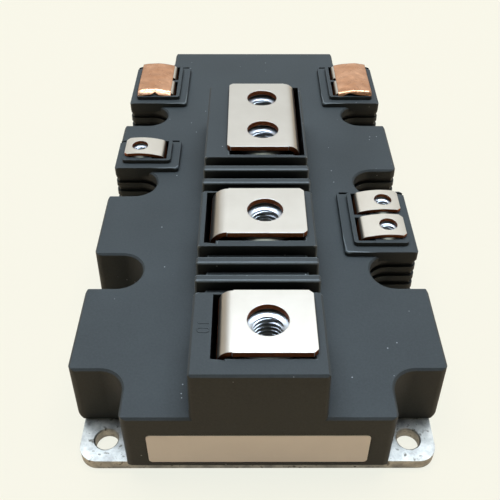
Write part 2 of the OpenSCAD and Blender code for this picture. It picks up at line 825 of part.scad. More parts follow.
module silicone_gel() {
    color("#e6eef2", 0.5) difference() {
        translate([0, 0, base_t]) linear_extrude(gel_z - base_t) case_plan(wall);
        for (y = DBC_YS)
            block([-dbc_w / 2 - fit, y - dbc_l / 2 - fit, base_t - 1],
                  [dbc_w / 2 + fit, y + dbc_l / 2 + fit, gel_well]);
        for (bar = BARS) bar_well(bar);
        for (pad = PADS, y = tab_ys(pad)) translate([0, y, 0])
            side_block(pad[0], [dbc_w / 2 - 1, -prong_half - fit, base_t - 1],
                       [screw_x - tab_bend + tab_t + fit, prong_half + fit, far]);
    }
}

// Opening that the prongs of a main terminal leave in the gel
module bar_well(bar) {
    span = (bar[3] - 1) * ac_pitch;
    translate([bar_offset + bar[1] * (bar[2] - bar_t / 2), bar[0], 0])
        block([-bar_t / 2 - fit, -leg_half - fit, gel_well - 1],
              [bar_t / 2 + fit, span + leg_half + fit, far]);
}

base_plate();
case_seal();
housing();
main_terminal(FRONT);  // front_main_terminal
main_terminal(MIDDLE);  // middle_main_terminal
main_terminal(OUTPUT);  // output_terminal
main_terminal_nuts();
control_terminal(SENSE, 0);  // sense_terminal
control_terminal(SENSOR, 0);  // sensor_terminal_1
control_terminal(SENSOR, 1);  // sensor_terminal_2
control_terminal(GATE_L, 0);  // gate_terminal_left
control_terminal(GATE_L, 1);  // emitter_terminal_left
control_terminal(GATE_R, 0);  // gate_terminal_right
control_terminal(GATE_R, 1);  // emitter_terminal_right
control_terminal_nuts();
shorting_foil(GATE_L);  // shorting_foil_left
shorting_foil(GATE_R);  // shorting_foil_right
name_label();
substrate_solder();
substrate(DBC_YS[0]);  // substrate_1
substrate(DBC_YS[1]);  // substrate_2
substrate(DBC_YS[2]);  // substrate_3
substrate(DBC_YS[3]);  // substrate_4
transistor_chips(DBC_YS[0]);  // transistor_chips_1
transistor_chips(DBC_YS[1]);  // transistor_chips_2
transistor_chips(DBC_YS[2]);  // transistor_chips_3
transistor_chips(DBC_YS[3]);  // transistor_chips_4
diode_chips(DBC_YS[0]);  // diode_chips_1
diode_chips(DBC_YS[1]);  // diode_chips_2
diode_chips(DBC_YS[2]);  // diode_chips_3
diode_chips(DBC_YS[3]);  // diode_chips_4
bond_wires(DBC_YS[0]);  // bond_wires_1
bond_wires(DBC_YS[1]);  // bond_wires_2
bond_wires(DBC_YS[2]);  // bond_wires_3
bond_wires(DBC_YS[3]);  // bond_wires_4
temperature_sensor();
silicone_gel();
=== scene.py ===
import json
import math

import bmesh
import bpy
from mathutils import Matrix, Vector, noise


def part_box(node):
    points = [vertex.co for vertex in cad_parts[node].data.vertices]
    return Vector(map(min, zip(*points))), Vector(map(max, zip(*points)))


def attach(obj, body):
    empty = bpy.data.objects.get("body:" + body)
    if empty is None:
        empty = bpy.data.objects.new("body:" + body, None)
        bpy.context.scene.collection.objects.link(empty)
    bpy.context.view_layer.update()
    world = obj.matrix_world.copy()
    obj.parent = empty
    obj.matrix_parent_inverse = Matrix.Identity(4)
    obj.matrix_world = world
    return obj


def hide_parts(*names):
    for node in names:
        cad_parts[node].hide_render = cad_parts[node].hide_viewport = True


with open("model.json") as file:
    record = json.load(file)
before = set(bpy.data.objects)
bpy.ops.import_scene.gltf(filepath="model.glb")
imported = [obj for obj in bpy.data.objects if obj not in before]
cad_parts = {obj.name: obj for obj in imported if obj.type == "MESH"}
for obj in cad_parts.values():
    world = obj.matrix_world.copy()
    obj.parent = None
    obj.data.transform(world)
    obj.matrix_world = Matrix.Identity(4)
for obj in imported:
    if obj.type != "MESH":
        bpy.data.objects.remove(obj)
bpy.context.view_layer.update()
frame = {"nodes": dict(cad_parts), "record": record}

MM = 0.001
TOUCHING = 0.02 * MM    # nearer than this, two places count as one
scene = bpy.context.scene
scene.view_settings.view_transform = "Standard"


# ---------------------------------------------------------------- helpers

def srgb(code):
    """Linear colour from the hex code that it looks like on screen."""
    def linear(v):
        return v / 12.92 if v <= 0.04045 else ((v + 0.055) / 1.055) ** 2.4
    return tuple(linear(int(code[i:i + 2], 16) / 255) for i in (1, 3, 5)) + (1.0,)


def add(tree, kind, sockets=None, **settings):
    """Adds a node; sockets are filled with values or with other nodes' outputs."""
    made = tree.nodes.new(kind)
    for name, value in settings.items():
        setattr(made, name, value)
    for name, value in (sockets or {}).items():
        if isinstance(value, bpy.types.NodeSocket):
            tree.links.new(value, made.inputs[name])
        else:
            made.inputs[name].default_value = value
    return made


def per_mm(size):
    """Scale of a texture on Object coordinates whose features are size mm across."""
    return 1 / (size * MM)


def new_material(name, **shader):
    """A material with one Principled shader, whose sockets take the values named: returns it,
    its tree, the shader and Object coordinates."""
    material = bpy.data.materials.new(name)
    material.use_nodes = True
    tree = material.node_tree
    tree.nodes.clear()
    body = add(tree, "ShaderNodeBsdfPrincipled",
               {key.replace("_", " "): value for key, value in shader.items()})
    add(tree, "ShaderNodeOutputMaterial", {"Surface": body.outputs[0]})
    place = add(tree, "ShaderNodeTexCoord").outputs["Object"]
    return material, tree, body, place


def new_piece(name, mesh, material, slot, *nodes):
    """Puts a finished mesh in the scene, with one material or a list: it rides the module and
    stands for the CAD nodes named."""
    piece = bpy.data.objects.new(name, mesh)
    scene.collection.objects.link(piece)
    for finish in material if isinstance(material, list) else [material]:
        if finish.name not in mesh.materials:
            mesh.materials.append(finish)
    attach(piece, "root")
    if nodes:
        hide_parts(*nodes)
    return piece


def joined_copy(node):
    """The CAD node's shape as one connected bmesh whose flat faces are whole."""
    same_point, same_plane = 0.003 * MM, math.radians(0.5)
    bm = bmesh.new()
    bm.from_mesh(frame["nodes"][node].data)
    bmesh.ops.remove_doubles(bm, verts=bm.verts, dist=same_point)
    bmesh.ops.dissolve_limit(bm, angle_limit=same_plane, verts=bm.verts, edges=bm.edges,
                             delimit={"NORMAL"})
    return bm


def to_mesh(bm, name, smooth=30):
    """Ends a bmesh as a smooth-shaded mesh, sharp where faces meet at more than that angle."""
    mesh = bpy.data.meshes.new(name)
    bm.to_mesh(mesh)
    bm.free()
    mesh.polygons.foreach_set("use_smooth", [True] * len(mesh.polygons))
    mesh.set_sharp_from_angle(angle=math.radians(smooth))
    return mesh


def room_across(face, edge):
    """How far the face runs on from the edge before it meets another of its edges."""
    loop = next(l for l in face.loops if l.edge == edge)
    start, end = loop.vert.co, loop.link_loop_next.vert.co
    along = end - start
    inward = face.normal.cross(along).normalized()
    found = math.inf
    for share in (0.1, 0.5, 0.9):
        spot = start + along * share
        for other in face.edges:
            c, d = (v.co for v in other.verts)
            p, q = (c - spot).dot(along), (d - spot).dot(along)
            if other == edge or p * q > 0 or p == q:
                continue
            reach = (c + (d - c) * (p / (p - q)) - spot).dot(inward)
            if reach > TOUCHING:
                found = min(found, reach)
    return found


def round_edges(bm, width, wanted):
    """Rounds the outer edges that wanted() picks, leaving out those with too little room beside
    them or at their ends. The rounded strips get the second material."""
    w = width * MM
    room_beside, room_at_end, least_turn = 2.2 * w, 1.2 * w, math.radians(28)
    picked = {e for e in bm.edges if len(e.link_faces) == 2 and e.is_convex
              and e.calc_face_angle(0) > least_turn and wanted(e)
              and min(room_across(face, e) for face in e.link_faces) > room_beside}
    while True:
        tight = {e for v in bm.verts for e in v.link_edges if e in picked
                 and any(o not in picked and o.calc_length() < room_at_end for o in v.link_edges)}
        if not tight:
            break
        picked -= tight
    bmesh.ops.bevel(bm, geom=[e for e in bm.edges if e in picked], offset=w, offset_type="OFFSET",
                    segments=3, profile=0.5, affect="EDGES", clamp_overlap=False, material=1)


def rounded_mesh(bm, name):
    """Ends a bmesh whose rounded strips have the second material: they blend between the faces
    on both sides, and those stay evenly shaded."""
    faces_own, strips_own = 0, 1

    def beside(vertex, normal, angle, kind):
        """The common normal at a corner of that kind's faces that turn by less than angle."""
        near = [f for f in vertex.link_faces if f.material_index == kind
                and f.normal.angle(normal, math.pi) < math.radians(angle)]
        weighed = sum((f.normal * f.calc_area() for f in near), Vector())
        return weighed.normalized() if near else None

    bmesh.ops.dissolve_degenerate(bm, edges=bm.edges, dist=0.001 * MM)
    bm.normal_update()
    normals = []
    for face in bm.faces:
        for vertex in face.verts:
            if face.material_index == faces_own:
                normals.append(beside(vertex, face.normal, 25, faces_own))
            else:
                normals.append(beside(vertex, face.normal, 50, faces_own)
                               or beside(vertex, face.normal, 50, strips_own))
    mesh = bpy.data.meshes.new(name)
    bm.to_mesh(mesh)
    bm.free()
    mesh.polygons.foreach_set("use_smooth", [True] * len(mesh.polygons))
    mesh.normals_split_custom_set([n or (0, 0, 1) for n in normals])
    return mesh


def soften(piece, width, angle=30, finish=-1):
    """Rounds the edges sharper than angle, so that they catch the light; finish is the number of
    the material that they get, or -1 for that of the faces beside them."""
    bevel = piece.modifiers.new("soft edges", "BEVEL")
    bevel.width = width * MM
    bevel.segments = 2
    bevel.limit_method = "ANGLE"
    bevel.angle_limit = math.radians(angle)
    bevel.use_clamp_overlap = True
    bevel.material = finish
    bevel.harden_normals = True


# ---------------------------------------------------------------- finishes

def moulded_plastic(name, lightest, roughness, shine, grained):
    """Moulded blue-black plastic: fine grain, faint flow clouds and specks of pale dust. Its
    colour is darkened to near black in narrow slots as painted shade, deeper than their shadow."""
    material, tree, body, place = new_material(name, Specular_IOR_Level=shine)
    clouds = add(tree, "ShaderNodeTexNoise", {"Vector": place, "Scale": per_mm(24), "Detail": 3})
    grain = add(tree, "ShaderNodeTexNoise", {"Vector": place, "Scale": per_mm(0.5), "Detail": 4})
    # scattered dust: a small dot in a few of the cells
    cells = add(tree, "ShaderNodeTexVoronoi", {"Vector": place, "Scale": per_mm(2.4)})
    chance = add(tree, "ShaderNodeSeparateColor", {"Color": cells.outputs["Color"]})
    dot = add(tree, "ShaderNodeMapRange", {"Value": cells.outputs["Distance"],
              "From Min": 0.085, "From Max": 0.05})
    rare = add(tree, "ShaderNodeMath", {0: chance.outputs["Red"], 1: 0.78},
               operation="GREATER_THAN")
    dust = add(tree, "ShaderNodeMath", {0: dot.outputs[0], 1: rare.outputs[0]},
               operation="MULTIPLY")
    mixed = add(tree, "ShaderNodeMix", {0: 0.45, 2: clouds.outputs["Fac"],
                3: grain.outputs["Fac"]})
    black = add(tree, "ShaderNodeMix", {0: mixed.outputs[0], 6: srgb("#2e3131"),
                7: srgb(lightest)}, data_type="RGBA")
    # painted shade: the colour is darkened where a place is closed in within 7 mm, as in a slot,
    # against an open face
    openness = add(tree, "ShaderNodeAmbientOcclusion", {"Distance": 7 * MM}, samples=8)
    on_open_face = add(tree, "ShaderNodeMapRange", {"Value": openness.outputs["AO"],
                       "From Min": 0.25, "From Max": 0.7})
    painted_slot_shade = add(tree, "ShaderNodeMix", {0: on_open_face.outputs[0], 6: srgb("#0c0d0d"),
                   7: black.outputs[2]}, data_type="RGBA")
    dust_over_painted_shade = add(tree, "ShaderNodeMix", {0: dust.outputs[0], 6: painted_slot_shade.outputs[2],
                7: srgb("#9da09f")}, data_type="RGBA")
    tree.links.new(dust_over_painted_shade.outputs[2], body.inputs["Base Color"])
    rough = add(tree, "ShaderNodeMapRange", {"Value": clouds.outputs["Fac"], "From Min": 0.3,
                "From Max": 0.7, "To Min": roughness - 0.05, "To Max": roughness + 0.05})
    tree.links.new(rough.outputs[0], body.inputs["Roughness"])
    bump = add(tree, "ShaderNodeBump", {"Height": grain.outputs["Fac"], "Strength": grained,
               "Distance": 0.04 * MM})
    tree.links.new(bump.outputs[0], body.inputs["Normal"])
    return material


def nickel_plate():
    """Nickel-plated base: pale silver, mottled by handling, with darker stains."""
    material, tree, body, place = new_material("nickel_plated_base", Metallic=1.0)
    mottle = add(tree, "ShaderNodeTexNoise", {"Vector": place, "Scale": per_mm(2.6), "Detail": 6,
                 "Roughness": 0.6})
    stain = add(tree, "ShaderNodeTexNoise", {"Vector": place, "Scale": per_mm(1.3), "Detail": 2})
    spots = add(tree, "ShaderNodeMapRange", {"Value": stain.outputs["Fac"], "From Min": 0.6,
                "From Max": 0.72})
    cloudy = add(tree, "ShaderNodeMapRange", {"Value": mottle.outputs["Fac"], "From Min": 0.32,
                 "From Max": 0.64})
    silver = add(tree, "ShaderNodeMix", {0: cloudy.outputs[0], 6: srgb("#8d8a84"),
                 7: srgb("#cbc7bd")}, data_type="RGBA")
    stained = add(tree, "ShaderNodeMix", {0: spots.outputs[0], 6: silver.outputs[2],
                  7: srgb("#6f6a61")}, data_type="RGBA")
    tree.links.new(stained.outputs[2], body.inputs["Base Color"])
    rough = add(tree, "ShaderNodeMapRange", {"Value": mottle.outputs["Fac"], "From Min": 0.3,
                "From Max": 0.7, "To Min": 0.36, "To Max": 0.5})
    tree.links.new(rough.outputs[0], body.inputs["Roughness"])
    bump = add(tree, "ShaderNodeBump", {"Height": mottle.outputs["Fac"], "Strength": 0.2,
               "Distance": 0.05 * MM})
    tree.links.new(bump.outputs[0], body.inputs["Normal"])
    return material


def tin_plating(name, light, dark, roughness):
    """Satin tin plating of the terminals: warm silver with faint rolling lines along the strip."""
    material, tree, body, place = new_material(name, Metallic=1.0)
    along = add(tree, "ShaderNodeMapping", {"Vector": place, "Scale": (0.2, 9, 1)})
    lines = add(tree, "ShaderNodeTexNoise", {"Vector": along.outputs[0], "Scale": per_mm(2.4),
                "Detail": 4})
    haze = add(tree, "ShaderNodeTexNoise", {"Vector": place, "Scale": per_mm(7), "Detail": 3})
    tone = add(tree, "ShaderNodeMix", {0: haze.outputs["Fac"], 6: srgb(dark), 7: srgb(light)},
               data_type="RGBA")
    tree.links.new(tone.outputs[2], body.inputs["Base Color"])
    rough = add(tree, "ShaderNodeMapRange", {"Value": lines.outputs["Fac"], "From Min": 0.3,
                "From Max": 0.7, "To Min": roughness - 0.02, "To Max": roughness + 0.03})
    tree.links.new(rough.outputs[0], body.inputs["Roughness"])
    bump = add(tree, "ShaderNodeBump", {"Height": lines.outputs["Fac"], "Strength": 0.05,
               "Distance": 0.01 * MM})
    tree.links.new(bump.outputs[0], body.inputs["Normal"])
    return material


def copper_edge_and_leg_shade():
    """Bare copper where a plated strip was sheared or punched: red-brown and a little tarnished.
    On the terminal legs the same copper is painted shade.
    """
    material, tree, body, place = new_material("sheared_copper_edge_and_leg_shade", Metallic=1.0)
    tarnish = add(tree, "ShaderNodeTexNoise", {"Vector": place, "Scale": per_mm(0.9), "Detail": 4})
    tone = add(tree, "ShaderNodeMix", {0: tarnish.outputs["Fac"], 6: srgb("#7a3c22"),
               7: srgb("#c47646")}, data_type="RGBA")
    tree.links.new(tone.outputs[2], body.inputs["Base Color"])
    rough = add(tree, "ShaderNodeMapRange", {"Value": tarnish.outputs["Fac"], "To Min": 0.35,
                "To Max": 0.55})
    tree.links.new(rough.outputs[0], body.inputs["Roughness"])
    return material


def bright_zinc():
    """Zinc-plated steel nuts: bluish silver, bright on the machined threads."""
    material, tree, body, place = new_material("zinc_plated_nut", Metallic=1.0)
    cloud = add(tree, "ShaderNodeTexNoise", {"Vector": place, "Scale": per_mm(3), "Detail": 2})
    tone = add(tree, "ShaderNodeMix", {0: cloud.outputs["Fac"], 6: srgb("#c6cacd"),
               7: srgb("#e2e5e8")}, data_type="RGBA")
    tree.links.new(tone.outputs[2], body.inputs["Base Color"])
    rough = add(tree, "ShaderNodeMapRange", {"Value": cloud.outputs["Fac"], "To Min": 0.26,
                "To Max": 0.34})
    tree.links.new(rough.outputs[0], body.inputs["Roughness"])
    return material


def creased_foil():
    """Thin copper foil: pink-orange and mirror-like, finely creased, paler where it is rubbed."""
    material, tree, body, place = new_material("creased_copper_foil", Metallic=1.0)
    creases = add(tree, "ShaderNodeTexNoise", {"Vector": place, "Scale": per_mm(2.2), "Detail": 5,
                  "Roughness": 0.62, "Distortion": 0.4})
    patches = add(tree, "ShaderNodeTexNoise", {"Vector": place, "Scale": per_mm(5), "Detail": 2})
    copper = add(tree, "ShaderNodeMix", {0: patches.outputs["Fac"], 6: srgb("#b3764c"),
                 7: srgb("#f2bf9a")}, data_type="RGBA")
    tree.links.new(copper.outputs[2], body.inputs["Base Color"])
    rough = add(tree, "ShaderNodeMapRange", {"Value": creases.outputs["Fac"], "From Min": 0.3,
                "From Max": 0.7, "To Min": 0.24, "To Max": 0.42})
    tree.links.new(rough.outputs[0], body.inputs["Roughness"])
    bump = add(tree, "ShaderNodeBump", {"Height": creases.outputs["Fac"], "Strength": 0.3,
               "Distance": 0.12 * MM})
    tree.links.new(bump.outputs[0], body.inputs["Normal"])
    return material


def label_film():
    """White satin polyester label film, very slightly uneven where it was pressed down."""
    material, tree, body, place = new_material("white_label_film", Specular_IOR_Level=0.5)
    press = add(tree, "ShaderNodeTexNoise", {"Vector": place, "Scale": per_mm(9), "Detail": 2})
    tone = add(tree, "ShaderNodeMix", {0: press.outputs["Fac"], 6: srgb("#ecebeb"),
               7: srgb("#f5f4f4")}, data_type="RGBA")
    tree.links.new(tone.outputs[2], body.inputs["Base Color"])
    rough = add(tree, "ShaderNodeMapRange", {"Value": press.outputs["Fac"], "To Min": 0.34,
                "To Max": 0.46})
    tree.links.new(rough.outputs[0], body.inputs["Roughness"])
    return material


def speckled(name, light, dark, size, rough=0.5, metal=0.0, **shader):
    """An inner part's finish: two close tones in soft patches of that size."""
    material, tree, body, place = new_material(name, Roughness=rough, Metallic=metal, **shader)
    patch = add(tree, "ShaderNodeTexNoise", {"Vector": place, "Scale": per_mm(size), "Detail": 4})
    tone = add(tree, "ShaderNodeMix", {0: patch.outputs["Fac"], 6: srgb(dark), 7: srgb(light)},
               data_type="RGBA")
    tree.links.new(tone.outputs[2], body.inputs["Base Color"])
    return material


# the rounded edges are smoother than the faces, and their paler colour is a painted highlight
PLASTIC = moulded_plastic("matt_moulded_case", "#4c5050", 0.51, 0.14, 0.4)
EDGES = moulded_plastic("smooth_rounded_edges", "#727979", 0.4, 0.45, 0.1)
BASE = nickel_plate()
PLATING = tin_plating("tin_plated_bar", "#e5dfd5", "#d7d0c5", 0.3)
TAB_PLATING = tin_plating("tin_plated_tab", "#e2dacd", "#cfc5b6", 0.34)
COPPER_EDGE_AND_LEG_SHADE = copper_edge_and_leg_shade()
ZINC = bright_zinc()
FOIL = creased_foil()
LABEL = label_film()
SEAL = speckled("grey_silicone_seal", "#5b5d5c", "#454746", 1.5, 0.6)
SOLDER = speckled("soft_solder", "#a9adb0", "#8b8f93", 0.8, 0.4, 1.0)
CERAMIC = speckled("white_alumina", "#e6e4dc", "#d9d6cc", 2.0, 0.55)
SILICON = speckled("silicon_chip", "#6f7480", "#555a66", 3.0, 0.25, 0.6)
ALUMINIUM = speckled("aluminium_wire", "#d9dadb", "#c0c2c4", 0.5, 0.3, 1.0)
SENSOR = speckled("sensor_body", "#3c4a3a", "#2f3b2e", 0.6, 0.5)
GEL = speckled("clear_silicone_gel", "#dfe3e2", "#cfd5d4", 4.0, 0.12, Alpha=0.45)


# ---------------------------------------------------------------- case and base plate

def case():
    """The moulded case, its edges rounded but for those down at the base plate."""
    bm = joined_copy("housing")
    round_edges(bm, 0.55, lambda e: max(v.co.z for v in e.verts) > 8 * MM)
    new_piece("case", rounded_mesh(bm, "case"), [PLASTIC, EDGES], "case_plastic", "housing")


def base():
    """The base plate, its edges broken."""
    mesh = to_mesh(joined_copy("base_plate"), "base")
    piece = new_piece("base", mesh, BASE, "base_plate", "base_plate")
    soften(piece, 0.18)


# ---------------------------------------------------------------- terminals

def plated_strip(name, node, plating, slot):
    """A terminal bent from plated strip: its sheared edges and punched holes show bare copper,
    and the leg below the bend gets the same dark copper as painted shade."""
    low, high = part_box(node)
    bm = joined_copy(node)
    for face in bm.faces:
        n = face.normal
        middle = face.calc_center_median()
        in_end_plane = min(abs(middle.x - low[0]), abs(middle.x - high[0])) < TOUCHING
        upright = abs(n.z) < 0.1
        side_or_hole = abs(n.y) > 0.12 and abs(n.z) < 0.4
        free_end = upright and in_end_plane and middle.z > high[2] - 3 * MM
        # painted shade: the leg faces get the dark copper finish
        leg = abs(n.x) > 0.95 and not in_end_plane
        face.material_index = 1 if side_or_hole or free_end or leg else 0
    piece = new_piece(name, to_mesh(bm, name), [plating, COPPER_EDGE_AND_LEG_SHADE], slot, node)
    soften(piece, 0.15, 40, finish=0)


# ---------------------------------------------------------------- nuts

def turned(bm, profile, steps, across_flats):
    """Turns a closed profile of (radius, height) points round the Z axis. A point whose radius is
    None lies on the hexagon."""
    sixth = math.pi / 3
    rows = []
    for i in range(steps):
        angle = 2 * math.pi * i / steps
        out = Vector((math.cos(angle), math.sin(angle), 0))
        off_flat = (angle + sixth / 2) % sixth - sixth / 2
        hexagon = across_flats / 2 / math.cos(off_flat)
        rows.append([bm.verts.new(out * (hexagon if r is None else r) + Vector((0, 0, z)))
                     for r, z in profile])
    for a, b in zip(rows, rows[1:] + rows[:1]):
        for j in range(len(profile)):
            k = (j + 1) % len(profile)
            bm.faces.new((a[j], a[k], b[k], b[j]))


def thread_ridge(bm, r, pitch, start, turns):
    """The ridge of a thread down a bore of radius r, growing in over its first quarter turn."""
    steps = 64
    # how far each corner of the ridge stands off the bore, and its height, in pitches
    section = ((-0.05, -0.3), (0.52, -0.07), (0.52, 0.07), (-0.05, 0.3))
    rows = []
    for i in range(int(turns * steps) + 1):
        angle = 2 * math.pi * i / steps
        out = Vector((math.cos(angle), math.sin(angle), 0))
        grown = min(1, 4 * i / steps)
        middle = start - pitch * (0.3 + i / steps)
        rows.append([bm.verts.new(out * (r - depth * pitch * grown)
                                  + Vector((0, 0, middle + z * pitch))) for depth, z in section])
    for a, b in zip(rows, rows[1:]):
        for j in range(4):
            k = (j + 1) % 4
            bm.faces.new((a[j], b[j], b[k], a[k]))
    bm.faces.new(rows[0])
    bm.faces.new(rows[-1][::-1])


def nut_body(name, thread, pitch, flats, height, flange, flange_t):
    """A flange nut, its top face at height 0: conical flange, countersink and a cut thread."""
    bore, rim = thread / 2 * MM, flange / 2 * MM
    bottom, under = -height * MM, -flange_t * MM
    sink = 0.12 * thread * MM
    sink_floor = -0.42 * sink
    slope = 0.12 * rim
    bm = bmesh.new()
    turned(bm, [(bore, bottom + sink), (bore + sink, bottom), (None, bottom), (None, under),
                (rim, under), (rim, -0.85 * slope), (rim - slope, 0),
                (bore + sink / 2, 0), (bore - sink / 2, sink_floor), (bore, -0.8 * sink)],
           96, flats * MM)
    thread_ridge(bm, bore, pitch * MM, sink_floor, (height - 1.2) / pitch)
    bmesh.ops.recalc_face_normals(bm, faces=bm.faces)
    return to_mesh(bm, name)


def nut_tree(name):
    """Geometry Nodes that set a copy of one nut on every point of the piece."""
    tree = bpy.data.node_groups.new(name, "GeometryNodeTree")
    face = tree.interface
    face.new_socket("Geometry", in_out="INPUT", socket_type="NodeSocketGeometry")
    face.new_socket("Body", in_out="INPUT", socket_type="NodeSocketObject")
    face.new_socket("Finish", in_out="INPUT", socket_type="NodeSocketMaterial")
    face.new_socket("Geometry", in_out="OUTPUT", socket_type="NodeSocketGeometry")
    given = add(tree, "NodeGroupInput").outputs
    nut = add(tree, "GeometryNodeObjectInfo", {"Object": given["Body"]})
    placed = add(tree, "GeometryNodeInstanceOnPoints", {"Points": given["Geometry"],
                 "Instance": nut.outputs["Geometry"]})
    real = add(tree, "GeometryNodeRealizeInstances", {"Geometry": placed.outputs[0]})
    zinc = add(tree, "GeometryNodeSetMaterial", {"Geometry": real.outputs[0],
               "Material": given["Finish"]})
    add(tree, "NodeGroupOutput", {"Geometry": zinc.outputs[0]})
    return tree


def evaluated(points, tree, values, name):
    """Runs a Geometry Nodes tree on an object and keeps the result as a plain mesh."""
    modifier = points.modifiers.new(tree.name, "NODES")
    modifier.node_group = tree
    for item in tree.interface.items_tree:
        if item.in_out == "INPUT" and item.name in values:
            modifier[item.identifier] = values[item.name]
    points.update_tag()
    bpy.context.view_layer.update()
    finished = points.evaluated_get(bpy.context.evaluated_depsgraph_get())
    mesh = bpy.data.meshes.new_from_object(finished)
    mesh.name = name
    points.modifiers.remove(modifier)
    return mesh


def nuts(name, node, centres, thread, pitch, flats, height, flange, flange_t):
    """One set of equal nuts, each with its thread, in place of a CAD node."""
    dots = bpy.data.meshes.new(name + "_points")
    dots.from_pydata([tuple(c) for c in centres], [], [])
    points = bpy.data.objects.new(name + "_points", dots)
    body = nut_body(name + "_body", thread, pitch, flats, height, flange, flange_t)
    nut = bpy.data.objects.new(name + "_body", body)
    for helper in (points, nut):
        scene.collection.objects.link(helper)
    mesh = evaluated(points, nut_tree(name), {"Body": nut, "Finish": ZINC}, name)
    mesh.set_sharp_from_angle(angle=math.radians(30))
    for helper in (points, nut):
        bpy.data.objects.remove(helper)
    new_piece(name, mesh, ZINC, "nut_zinc", node)


# ---------------------------------------------------------------- shorting foils

def foil(name, node, fold, droop, notch, gap, lift, seed):
    """Soft copper foil pressed over two arched tabs. Its front edge hangs in a fold of that length
    down to droop degrees, with a tear of width gap at notch, both as shares of the edge. The
    sheet is crumpled by lift, most near the fold. Sizes in mm."""
    low, high = (Vector(c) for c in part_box(node))
    outwards = 1 if high.x > 0 else -1
    inner, outer = (low.x, high.x) if outwards > 0 else (high.x, low.x)
    # the arch of the tabs under it, and what is kept free at the sheet's ends
    arch_r = 25.1 * MM
    arch_x = outer - outwards * 4.85 * MM
    top = high.z - 0.15 * MM
    margin = 0.1 * MM
    start, end = math.radians(22), math.radians(droop)
    fold_r = fold / (end - start) * MM
    bend_y = low.y + margin + fold_r * (math.sin(end) - math.sin(start))
    columns, rows, fold_rows = 56, 84, 12

    def on_sheet(u, j):
        """The place and the outward direction at share u across, on row j."""
        x = inner + (outer - inner) * u
        arch = top - arch_r + math.sqrt(arch_r ** 2 - (x - arch_x) ** 2)
        if j >= fold_rows:
            v = (j - fold_rows) / rows
            return Vector((x, bend_y + (high.y - margin - bend_y) * v, arch)), Vector((0, 0, 1))
        torn = math.exp(-((u - notch) / gap) ** 2)
        turn = start + (end - start) * (1 - j / fold_rows) * (1 - 0.5 * torn)
        return (Vector((x, bend_y - fold_r * (math.sin(turn) - math.sin(start)),
                        arch - fold_r * (math.cos(start) - math.cos(turn)))),
                Vector((0, -math.sin(turn), math.cos(turn))))

    bm = bmesh.new()
    grid = []
    for j in range(fold_rows + rows + 1):
        near_fold = math.exp(-abs(j - fold_rows) / 9)
        line = []
        for i in range(columns + 1):
            spot, out = on_sheet(i / columns, j)
            dent = noise.fractal(Vector((spot.x, spot.y, seed * MM)) / (2.6 * MM), 0.8, 2.0, 4)
            crease = abs(noise.noise(Vector((spot.x, spot.y * 0.4, seed * MM)) / (1.7 * MM)))
            away = lift * MM * (0.4 + 0.35 * dent + 1.3 * near_fold * crease)
            line.append(bm.verts.new(spot + out * max(away, 0.02 * MM)))
        grid.append(line)
    for a, b in zip(grid, grid[1:]):
        for i in range(columns):
            quad = (a[i], a[i + 1], b[i + 1], b[i])
            bm.faces.new(quad if outwards > 0 else quad[::-1])
    piece = new_piece(name, to_mesh(bm, name, 60), FOIL, "copper_foil", node)
    wall = piece.modifiers.new("foil thickness", "SOLIDIFY")
    wall.thickness = 0.08 * MM
    wall.offset = 0


# ---------------------------------------------------------------- the rest of the module

def moulded_number():
    """The number 10 in thin raised strokes on the spine, turned to read across the module."""
    low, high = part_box("front_main_terminal")
    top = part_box("housing")[1][2]
    x, y = low[0] - 2.5 * MM, (low[1] + high[1]) / 2 - 0.9 * MM
    curve = bpy.data.curves.new("number", "CURVE")
    curve.dimensions = "3D"
    curve.bevel_depth = 0.16 * MM
    curve.bevel_resolution = 2
    one = [(-1.25, 1.5), (-1.0, 1.2), (1.25, 1.2)]
    # the nought is two half circles, each as far out from its middle as they are round
    r, middle_y, sides = 0.65, -0.75, 16
    angles = [2 * math.pi * (k + 0.5) / sides for k in range(sides)]
    nought = [(r * math.copysign(1, math.cos(a)) + r * math.cos(a), middle_y + r * math.sin(a))
              for a in angles]
    for stroke, closed in ((one, False), (nought, True)):
        spline = curve.splines.new("POLY")
        spline.points.add(len(stroke) - 1)
        spline.use_cyclic_u = closed
        for point, (px, py) in zip(spline.points, stroke):
            point.co = (x + px * MM, y + py * MM, top - 0.04 * MM, 1)
    drawn = bpy.data.objects.new("number", curve)
    mesh = bpy.data.meshes.new_from_object(drawn)
    bpy.data.objects.remove(drawn)
    mesh.materials.clear()
    mesh.name = "moulded_number"
    new_piece("moulded_number", mesh, PLASTIC, "case_plastic")


def inner_nodes():
    """The nodes that keep their CAD shape get their finishes."""
    finishes = {"case_seal": SEAL, "name_label": LABEL, "substrate_solder": SOLDER,
                "temperature_sensor": SENSOR, "silicone_gel": GEL}
    for i in range(1, 5):
        finishes["substrate_%d" % i] = CERAMIC
        finishes["transistor_chips_%d" % i] = SILICON
        finishes["diode_chips_%d" % i] = SILICON
        finishes["bond_wires_%d" % i] = ALUMINIUM
    for node, finish in finishes.items():
        part = frame["nodes"][node]
        if not part.material_slots:
            part.data.materials.append(finish)
        for slot in part.material_slots:
            slot.material = finish


# ---------------------------------------------------------------- stage

